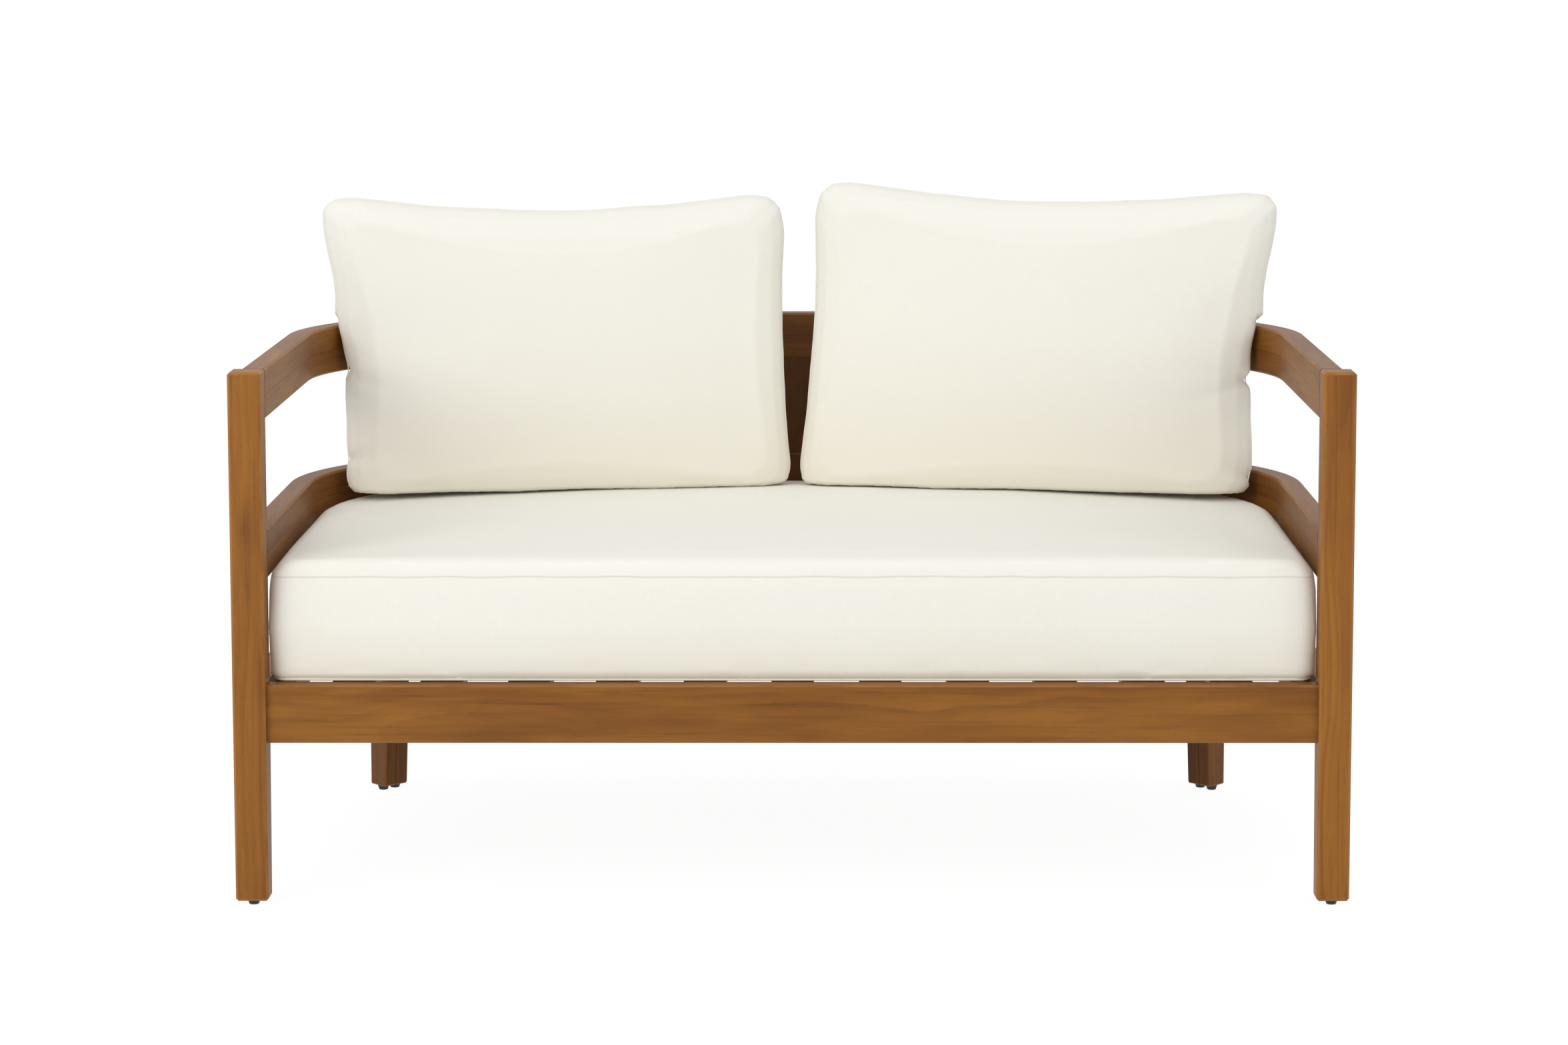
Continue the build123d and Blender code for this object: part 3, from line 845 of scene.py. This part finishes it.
def even_out(piece: Piece, rounds: int) -> None:
    """Smooths a piece's mesh.

    Args:
        piece: the object.
        rounds: how many times its points move towards their neighbours.
    """
    even = piece.modifiers.new("even", "SMOOTH")
    even.factor = 0.5
    even.iterations = rounds
    settle(piece)


def ramp(value: float, start: float, length: float) -> float:
    """How far a value is along a span.

    Args:
        value: the value.
        start: where the span starts.
        length: how long it is.

    Returns:
        0 before the span, 1 after it.
    """
    return min(1.0, max(0.0, (value - start) / length))


def bell(offset: float, width: float) -> float:
    """The height of a smooth bump.

    Args:
        offset: how far from its middle.
        width: how far out it has fallen to 0.37.

    Returns:
        1 in the middle, towards 0 outside.
    """
    return math.exp(-((offset / width) ** 2))


def points_of(mesh: bpy.types.Mesh) -> np.ndarray:
    """A mesh's points as rows.

    Args:
        mesh: the mesh.

    Returns:
        An array of x, y and z.
    """
    flat = np.zeros(len(mesh.vertices) * 3, np.float64)
    mesh.vertices.foreach_get("co", flat)
    return flat.reshape(-1, 3)


@dataclass
class StuffedCushion:
    """One cushion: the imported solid, softened by a cloth simulation and kept near its solid."""

    node: str
    body: str
    slot: str
    voxel: float = 0.009
    shrink: float = 0.005
    most_moved: float = 0.0075
    pressure: float = 2.0
    fill: float = 0.6
    proud: float = 0.001
    slack: float = 0.0012
    smoothing: int = 4
    frames: int = 20
    cord_step: float = 0.005
    cord_fewest: int = 24
    cord_rounds: int = 6

    def solid(self) -> BMesh:
        """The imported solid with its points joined.

        Returns:
            The bmesh.
        """
        mesh = bmesh.new()
        mesh.from_mesh(frame["nodes"][self.node].data)
        bmesh.ops.remove_doubles(mesh, verts=mesh.verts, dist=0.00005)
        bmesh.ops.recalc_face_normals(mesh, faces=mesh.faces)
        return mesh

    def surface(self) -> BVHTree:
        """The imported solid's surface, to measure from.

        Returns:
            The tree of its faces.
        """
        mesh = self.solid()
        tree = BVHTree.FromBMesh(mesh)
        mesh.free()
        return tree

    def remeshed(self, name: str) -> Piece:
        """A finely and evenly meshed copy of the solid, a little smaller.

        Args:
            name: the new object's name.

        Returns:
            The object.
        """
        piece = new_piece(name, self.solid())
        remesh = piece.modifiers.new("voxels", "REMESH")
        remesh.mode = "VOXEL"
        remesh.voxel_size = self.voxel
        settle(piece)
        even_out(piece, 4)
        mesh = bmesh.new()
        mesh.from_mesh(piece.data)
        mesh.normal_update()
        for vert in mesh.verts:
            vert.co -= vert.normal * self.shrink
        mesh.to_mesh(piece.data)
        mesh.free()
        return piece

    def inflate(self, piece: Piece) -> None:
        """Runs the cloth simulation and scales its movement to a small one.

        Args:
            piece: the remeshed object.
        """
        start = points_of(piece.data)
        cloth = piece.modifiers.new("stuffing", "CLOTH")
        settings = cloth.settings
        settings.quality = 3
        settings.mass = 0.25
        settings.tension_stiffness = 20
        settings.compression_stiffness = 20
        settings.shear_stiffness = 8
        settings.bending_stiffness = 0.6
        settings.use_pressure = True
        settings.uniform_pressure_force = self.pressure
        settings.effector_weights.gravity = 0
        cloth.collision_settings.use_collision = False
        cloth.collision_settings.use_self_collision = False
        cloth.point_cache.frame_start = 1
        cloth.point_cache.frame_end = self.frames
        scene = bpy.context.scene
        for number in range(1, self.frames + 1):
            scene.frame_set(number)
        settle(piece)
        scene.frame_set(1)
        moved = points_of(piece.data) - start
        length = np.linalg.norm(moved, axis=1)
        kept = start + moved * min(1.0, self.most_moved / max(float(length.max()), 1e-9))
        piece.data.vertices.foreach_set("co", kept.astype(np.float32).ravel())
        piece.data.update()

    def hold(self, piece: Piece) -> None:
        """Keeps every point near the solid's surface.

        Args:
            piece: the cushion.
        """
        tree = self.surface()
        for vert in piece.data.vertices:
            near, normal, _, _ = tree.find_nearest(vert.co)
            away = vert.co - near
            limit = (self.proud if away.dot(normal) > 0 else self.slack) * self.give(near)
            if away.length > limit:
                vert.co = near + away * (limit / away.length)
        piece.data.update()

    def give(self, place: Vector) -> float:
        """How many times the usual distances the cover may stray from its solid at a place.

        Args:
            place: a point of the solid's surface, not used here.

        Returns:
            The factor.
        """
        return 1.0

    def shape(self, piece: Piece) -> None:
        """Moves points after the simulation; each cushion has its own way, and the plain one moves none.

        Args:
            piece: the cushion, not used here.
        """

    def cover(self) -> Piece:
        """The finished cushion in place of its solid.

        Returns:
            The object.
        """
        piece = self.remeshed(self.node + "_cover")
        self.inflate(piece)
        rounder = piece.modifiers.new("rounder", "SUBSURF")
        rounder.levels = 1
        rounder.render_levels = 1
        settle(piece)
        for _ in range(3):
            self.hold(piece)
            even_out(piece, self.smoothing)
        self.hold(piece)
        self.shape(piece)
        for face in piece.data.polygons:
            face.use_smooth = True
        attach(piece, self.body)
        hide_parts(self.node)
        return piece

    def seam_cord(
        self, mesh: BMesh, name: str, place: Vector, normal: Vector, radius: float
    ) -> Piece:
        """A thin cord round a shape where a plane cuts it.

        Args:
            mesh: the shape, which is freed.
            name: the cord's name.
            place: a point of the plane.
            normal: the plane's normal.
            radius: the cord's radius.

        Returns:
            The object.
        """
        everything = mesh.verts[:] + mesh.edges[:] + mesh.faces[:]
        cut = bmesh.ops.bisect_plane(mesh, geom=everything, dist=0.00001, plane_co=place, plane_no=normal)
        ring = [item for item in cut["geom_cut"] if isinstance(item, bmesh.types.BMEdge)]
        first = min(ring, key=lambda edge: edge.verts[0].co[:] + edge.verts[1].co[:])
        edges = set(ring)
        loop = list(first.verts)
        used = {first}
        while True:
            ahead = [edge for edge in loop[-1].link_edges if edge in edges and edge not in used]
            if not ahead:
                break
            used.add(ahead[0])
            loop.append(ahead[0].other_vert(loop[-1]))
        line = np.array([vert.co[:] for vert in loop[:-1]])
        mesh.free()
        for _ in range(self.cord_rounds):
            line = (np.roll(line, 1, axis=0) + 2 * line + np.roll(line, -1, axis=0)) / 4
        steps = np.linalg.norm(np.roll(line, -1, axis=0) - line, axis=1)
        reach = np.concatenate([[0], np.cumsum(steps)])
        count = max(self.cord_fewest, int(reach[-1] / self.cord_step))
        wanted = np.linspace(0, reach[-1], count, endpoint=False)
        closed = np.vstack([line, line[:1]])
        line = np.stack([np.interp(wanted, reach, closed[:, axis]) for axis in range(3)], axis=1)
        curve = bpy.data.curves.new(name, "CURVE")
        curve.dimensions = "3D"
        curve.bevel_depth = radius
        curve.bevel_resolution = 1
        spline = curve.splines.new("POLY")
        spline.points.add(len(line) - 1)
        spline.points.foreach_set("co", np.hstack([line, np.ones((len(line), 1))]).ravel())
        spline.use_cyclic_u = True
        tube = placed(name, curve)
        bpy.context.view_layer.update()
        data = baked(tube)
        bpy.data.objects.remove(tube)
        data.name = name
        made = placed(name, data)
        for face in data.polygons:
            face.use_smooth = True
        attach(made, self.body)
        return made


@dataclass
class SeatCushion(StuffedCushion):
    """The thick boxed seat cushion."""

    node: str = "seat_cushion"
    body: str = "seat_cushion"
    slot: str = "seat_fabric"
    voxel: float = 0.0106
    slack: float = 0.0004
    smoothing: int = 2
    shrink: float = 0.0035
    spread: float = 0.0045
    spread_from: float = 0.612
    room_half: float = 0.6393
    top_seam: float = 0.4023
    foot_seam: float = 0.2756
    welt: float = 0.0016

    def give(self, place: Vector) -> float:
        """The top may stray more than the sides.

        Args:
            place: a point of the solid's surface.

        Returns:
            The factor.
        """
        return 1.0 + 3.0 * ramp(place.z - self.top_seam, 0.004, 0.012)

    def shape(self, piece: Piece) -> None:
        """Adds the puckers along the top seam and a slight unevenness of the filling.

        Args:
            piece: the cushion.
        """
        normals = [item.vector.copy() for item in piece.data.vertex_normals]
        for vert, outwards in zip(piece.data.vertices, normals):
            x, y, z = vert.co
            soft = noise.noise(Vector((x * 4.5, y * 5.5, z * 6.0))) * 0.0016
            pucker = 0.0012 + 0.0009 * noise.noise(Vector((x * 46, y * 46, 3.1)))
            pucker *= bell(z - self.top_seam, 0.011)
            foot = bell(z - self.foot_seam - 0.012, 0.01)
            ripple = foot * 0.0012 * noise.noise(Vector((x * 21, y * 21, 8.4)))
            vert.co -= outwards * (abs(soft) * (1 - foot) + pucker - ripple)
        tree = self.surface()
        for vert in piece.data.vertices:
            if vert.co.z < self.foot_seam + 0.009:
                vert.co = tree.find_nearest(vert.co)[0]
            if vert.co.z < self.foot_seam:
                side, normal, _, gap = tree.find_nearest(vert.co + Vector((0, 0, 0.0056)))
                if abs(normal.z) < 0.5 and gap < 0.0055:
                    vert.co = (side.x, side.y, vert.co.z)
            side = math.copysign(1.0, vert.co.x)
            share = ramp(abs(vert.co.x), self.spread_from, 0.02)
            spread = self.spread * share * share * (1.0 if vert.co.z < 0.41 else 0.4)
            if share > 0:
                vert.co.x = side * min(self.room_half, abs(vert.co.x) + spread)
        piece.data.update()


@dataclass
class BackCushion(StuffedCushion):
    """A loose back cushion, squeezed by the rails at its outer side."""

    slot: str = "back_fabric"
    seam: float = 0.0009
    seam_place: Vector = field(default_factory=lambda: Vector((0.0, 0.234, 0.4078)))
    toe_in: float = math.radians(8.5)
    lean: float = math.radians(6)
    side: float = 1.0
    smoothing: int = 24
    drape: float = 0.0065
    drape_from: float = 0.565
    rail_top: float = 0.662
    creases: tuple[Crease, ...] = ()

    def seam_normal(self) -> Vector:
        """The seam plane's normal, which points to the front.

        Returns:
            The normal.
        """
        sideways, forwards = math.cos(self.toe_in), math.sin(self.toe_in)
        back, high = math.sin(self.lean), math.cos(self.lean)
        up = Vector((forwards * back, sideways * back, high))
        normal = Vector((sideways, -forwards, 0.0)).cross(up)
        return Vector((self.side * normal.x, normal.y, normal.z))

    def give(self, place: Vector) -> float:
        """The faces may stray more than the seam between them.

        Args:
            place: a point of the solid's surface.

        Returns:
            The factor.
        """
        from_seam = abs((place - self.seam_place).dot(self.seam_normal()))
        share = ramp(from_seam, 0.012, 0.045)
        return 1.0 + 3.5 * share * share

    def shape(self, piece: Piece) -> None:
        """Presses the creases in and makes the filling a little uneven.

        Args:
            piece: the cushion.
        """
        normals = [item.vector.copy() for item in piece.data.vertex_normals]
        for vert, outwards in zip(piece.data.vertices, normals):
            x, y, z = vert.co
            move = abs(noise.noise(Vector((x * 5.0 + 3 * self.side, y * 5.0, z * 5.0)))) * 0.0028
            for start_x, start_z, end_x, end_z, depth in self.creases:
                run = Vector((end_x - start_x, end_z - start_z))
                from_start = Vector((x - start_x, z - start_z))
                share = from_start.dot(run) / run.length_squared
                if -0.15 < share < 1.0:
                    off = (from_start - run * share).length
                    fade = max(0.0, 1 - max(share, 0)) ** 1.3
                    move += depth * fade * bell(off, 0.006 + 0.012 * max(share, 0))
            vert.co -= outwards * move
            lap = self.drape * ramp(abs(x), self.drape_from, 0.03) * bell(z - self.rail_top, 0.026)
            vert.co.x += self.side * lap
        piece.data.update()


@dataclass
class Upholstery:
    """The three cushions and their seam cords.

    A crease runs from its x and z to an end's x and z, with a depth at its start.
    """

    finish: FabricFinish = field(default_factory=FabricFinish)
    creases: dict[float, tuple[Crease, ...]] = field(
        default_factory=lambda: {
            -1.0: (
                (-0.612, 0.600, -0.50, 0.56, 0.006),
                (-0.612, 0.600, -0.55, 0.66, 0.003),
                (-0.612, 0.478, -0.52, 0.50, 0.005),
            ),
            1.0: (
                (0.612, 0.585, 0.50, 0.62, 0.006),
                (0.612, 0.585, 0.48, 0.55, 0.004),
                (0.61, 0.455, 0.53, 0.49, 0.004),
            ),
        }
    )

    def build(self) -> list[Piece]:
        """Makes the cushions and dresses them.

        Returns:
            The pieces.
        """
        weave = self.finish.weave_group()
        seat = SeatCushion()
        seat_cloth = self.finish.material("seat_cloth", weave, 0.26, 0.43, (seat.top_seam,))
        back_cloth = self.finish.material("back_cloth", weave, 0.42, 0.74, ())
        cord_cloth = self.finish.material("seam_cloth", weave, 0.2, 0.5, ())
        cover = seat.cover()
        cover.data.materials.append(seat_cloth)
        level = Vector((0, 0, seat.foot_seam))
        cord = seat.seam_cord(seat.solid(), "seat_cushion_foot_welt", level, Vector((0, 0, 1)), seat.welt)
        cord.data.materials.append(cord_cloth)
        pieces = [cover, cord]
        for side, creases in self.creases.items():
            node = "back_cushion_right" if side > 0 else "back_cushion_left"
            pillow = BackCushion(node=node, body=node, side=side, creases=creases)
            cover = pillow.cover()
            cover.data.materials.append(back_cloth)
            edge = bmesh.new()
            edge.from_mesh(cover.data)
            normal = pillow.seam_normal()
            cord = pillow.seam_cord(edge, node + "_seam", pillow.seam_place, normal, pillow.seam)
            cord.data.materials.append(cord_cloth)
            pieces += [cover, cord]
        return pieces


@dataclass
class Hardware:
    """Bolts with hexagon sockets, slat screws, and the glides."""

    head_radius: float = 0.0085
    head_height: float = 0.0025
    shank_radius: float = 0.003
    socket_radius: float = 0.0029
    socket_depth: float = 0.0019
    screw_radius: float = 0.0042
    screw_height: float = 0.0018
    screw_sunk: float = 0.0008
    screw_from_end: float = 0.012
    slot_half: float = 0.0026
    slot_width: float = 0.0009
    slot_height: float = 0.0016

    def bolt_places(self) -> list[tuple[Vector, Vector, float]]:
        """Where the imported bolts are.

        Returns:
            For each bolt the middle of its head's face, the direction out of the head and its length.
        """
        mesh = bmesh.new()
        mesh.from_mesh(frame["nodes"]["frame_bolts"].data)
        bmesh.ops.remove_doubles(mesh, verts=mesh.verts, dist=0.00001)
        waiting, places = set(mesh.verts), []
        while waiting:
            group, ahead = [], [min(waiting, key=lambda vert: vert.index)]
            waiting.discard(ahead[0])
            while ahead:
                vert = ahead.pop()
                group.append(vert.co[:])
                for edge in vert.link_edges:
                    other = edge.other_vert(vert)
                    if other in waiting:
                        waiting.discard(other)
                        ahead.append(other)
            points = np.array(group)
            middle = (points.min(0) + points.max(0)) / 2
            axis = np.linalg.svd(points - points.mean(0))[2][0]
            run = (points - middle) @ axis
            far = np.linalg.norm((points - middle) - np.outer(run, axis), axis=1)
            axis = axis if run[far.argmax()] > 0 else -axis
            run = (points - middle) @ axis
            centre = points[run > run.max() - 0.0004].mean(0)
            places.append((Vector(centre), Vector(axis), float(run.max() - run.min())))
        mesh.free()
        return places

    def cut(self, piece: Piece, tool: Piece) -> None:
        """Cuts recesses with another object, which is then removed.

        Args:
            piece: what is cut.
            tool: the recesses' shapes.
        """
        recess = piece.modifiers.new("recess", "BOOLEAN")
        recess.operation = "DIFFERENCE"
        recess.solver = "EXACT"
        recess.use_self = True
        recess.object = tool
        bpy.context.view_layer.update()
        settle(piece)
        bpy.data.objects.remove(tool)

    def finished(self, piece: Piece, material: Material) -> Piece:
        """A metal piece with crisp faces on the frame's body.

        Args:
            piece: the piece.
            material: its material.

        Returns:
            The piece.
        """
        piece.data.materials.clear()
        piece.data.materials.append(material)
        for face in piece.data.polygons:
            face.use_smooth = False
        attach(piece, "frame")
        return piece

    def bolts(self, material: Material) -> Piece:
        """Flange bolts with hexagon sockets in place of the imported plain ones.

        Args:
            material: the steel.

        Returns:
            The bolts.
        """
        heads, sockets = bmesh.new(), bmesh.new()
        for centre, out, length in self.bolt_places():
            turn = out.to_track_quat("Z", "Y").to_matrix().to_4x4()
            for mesh, sides, radius, depth, middle in (
                (heads, 32, self.head_radius, self.head_height, -self.head_height / 2),
                (heads, 20, self.shank_radius, length - self.head_height, -(length + self.head_height) / 2),
                (sockets, 6, self.socket_radius, self.socket_depth * 2, 0.0),
            ):
                place = Matrix.Translation(centre + out * middle) @ turn
                top = radius * 0.93 if sides == 32 else radius
                bmesh.ops.create_cone(
                    mesh, cap_ends=True, segments=sides, radius1=radius, radius2=top, depth=depth, matrix=place
                )
        piece = new_piece("flange_bolts", heads)
        self.cut(piece, new_piece("socket_shapes", sockets))
        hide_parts("frame_bolts")
        return self.finished(piece, material)

    def slat_screws(self, material: Material) -> Piece:
        """Countersunk cross-head screws that hold the slats to the cleats.

        Args:
            material: the steel.

        Returns:
            The screws.
        """
        heads, slots = bmesh.new(), bmesh.new()
        front_low, front_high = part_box("front_cleat")
        narrow, wide = self.screw_radius * 0.6, self.screw_radius
        long, thin = 2 * self.slot_half, self.slot_width
        for name in sorted(name for name in frame["nodes"] if name.startswith("seat_slat_")):
            low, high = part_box(name)
            middle = (low.x + high.x) / 2
            for deep in ((front_low.y + front_high.y) / 2, high.y - self.screw_from_end):
                place = Matrix.Translation((middle, deep, high.z - self.screw_sunk))
                size = {"radius1": narrow, "radius2": wide, "depth": self.screw_height}
                bmesh.ops.create_cone(heads, cap_ends=True, segments=24, matrix=place, **size)
                place = Matrix.Translation((middle, deep, high.z))
                for width, depth in ((long, thin), (thin, long)):
                    shape = Matrix.Diagonal((width, depth, self.slot_height, 1.0))
                    bmesh.ops.create_cube(slots, size=1.0, matrix=place @ shape)
        piece = new_piece("slat_screws", heads)
        self.cut(piece, new_piece("slot_shapes", slots))
        return self.finished(piece, material)

    def dress(self) -> list[Piece]:
        """Dresses the glides and makes the bolts and screws.

        Returns:
            The new pieces.
        """
        glides = frame["nodes"]["leg_glides"]
        glides.data.materials.clear()
        glides.data.materials.append(PlasticFinish().material())
        steel = SteelFinish().material()
        return [self.bolts(steel), self.slat_screws(steel)]


@dataclass
class Studio:
    """Camera, floor and soft light of a plain product photograph."""

    lens: float = 88.329
    place: Three = (0.0508, -4.9696, 1.1877)
    pitch: float = math.radians(6.486)
    yaw: float = math.radians(0.046)
    shift: tuple[float, float] = (-0.03, -0.1)
    floor_half: float = 30.0
    floor_glow: float = 1.09
    glow_share: float = 0.86
    ambient: float = 0.62

    def camera(self) -> None:
        """The camera at the photograph's angle."""
        data = bpy.data.cameras.new("camera")
        data.sensor_width = 36.0
        data.lens = self.lens
        data.shift_x, data.shift_y = self.shift
        data.dof.use_dof = False
        data.clip_end = 200.0
        made = placed("camera", data)
        made.location = self.place
        made.rotation_euler = (math.pi / 2 - self.pitch, 0.0, self.yaw)
        bpy.context.scene.camera = made

    def floor(self) -> None:
        """A plain pale floor that shows white and keeps a faint shadow."""
        mesh = bmesh.new()
        bmesh.ops.create_grid(mesh, x_segments=1, y_segments=1, size=self.floor_half)
        made = bpy.data.materials.new("studio_floor")
        made.use_nodes = True
        graph = Graph(made.node_tree)
        made.node_tree.nodes.clear()
        paint = graph.node("BsdfDiffuse")
        paint.inputs["Color"].default_value = (0.86, 0.86, 0.86, 1.0)
        glow = graph.node("Emission")
        glow.inputs["Color"].default_value = (1.0, 1.0, 1.0, 1.0)
        glow.inputs["Strength"].default_value = self.floor_glow
        share = graph.times(self.seen(graph), self.glow_share)
        mix = graph.node("MixShader", share, paint.outputs[0], glow.outputs[0])
        graph.feed(graph.node("OutputMaterial").inputs["Surface"], mix.outputs[0])
        floor = new_piece("studio_floor", mesh)
        floor.data.materials.append(made)

    def seen(self, graph: Graph) -> Socket:
        """1 for rays that show the background: from the camera, in gloss and through glass.

        Args:
            graph: the tree that asks.

        Returns:
            The share.
        """
        path = graph.node("LightPath")
        share = graph.math("MAXIMUM", path.outputs["Is Camera Ray"], path.outputs["Is Glossy Ray"])
        return graph.math("MAXIMUM", share, path.outputs["Is Transmission Ray"])

    def world(self) -> None:
        """A white surround that lights softly."""
        world = bpy.data.worlds.new("studio")
        bpy.context.scene.world = world
        world.use_nodes = True
        graph = Graph(world.node_tree)
        back = world.node_tree.nodes["Background"]
        back.inputs["Color"].default_value = (1.0, 1.0, 1.0, 1.0)
        strength = graph.math("MULTIPLY_ADD", self.seen(graph), 1.0 - self.ambient, self.ambient)
        graph.feed(back.inputs["Strength"], strength)

    def lamp(self, name: str, place: Three, aim: float, size: float, power: float) -> None:
        """A soft square lamp that points at the middle of the sofa.

        Args:
            name: its name.
            place: where it hangs.
            aim: the height that it points at.
            size: its side.
            power: its power in watts.
        """
        data = bpy.data.lights.new(name, "AREA")
        data.shape = "SQUARE"
        data.size = size
        data.energy = power
        made = placed(name, data)
        made.location = place
        made.rotation_euler = (Vector((0.0, 0.0, aim)) - Vector(place)).to_track_quat("-Z", "Y").to_euler()

    def build(self) -> None:
        """Sets the whole studio up."""
        self.camera()
        self.floor()
        self.world()
        self.lamp("key_lamp", (-2.8, -3.9, 2.5), 0.4, 2.6, 86.0)
        self.lamp("fill_lamp", (3.0, -3.4, 2.2), 0.4, 2.8, 34.0)
        self.lamp("top_lamp", (0.0, 0.2, 3.6), 0.3, 2.4, 14.0)
        bpy.context.scene.view_settings.view_transform = "Standard"


def main() -> None:
    """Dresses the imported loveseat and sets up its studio."""
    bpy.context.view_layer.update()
    boards = TimberFrame().dress()
    log.info("%d boards oiled", boards)
    for piece in Hardware().dress() + Upholstery().build():
        log.info("%s: %d faces", piece.name, len(piece.data.polygons))
    Studio().build()


if __name__ == "__main__":
    main()
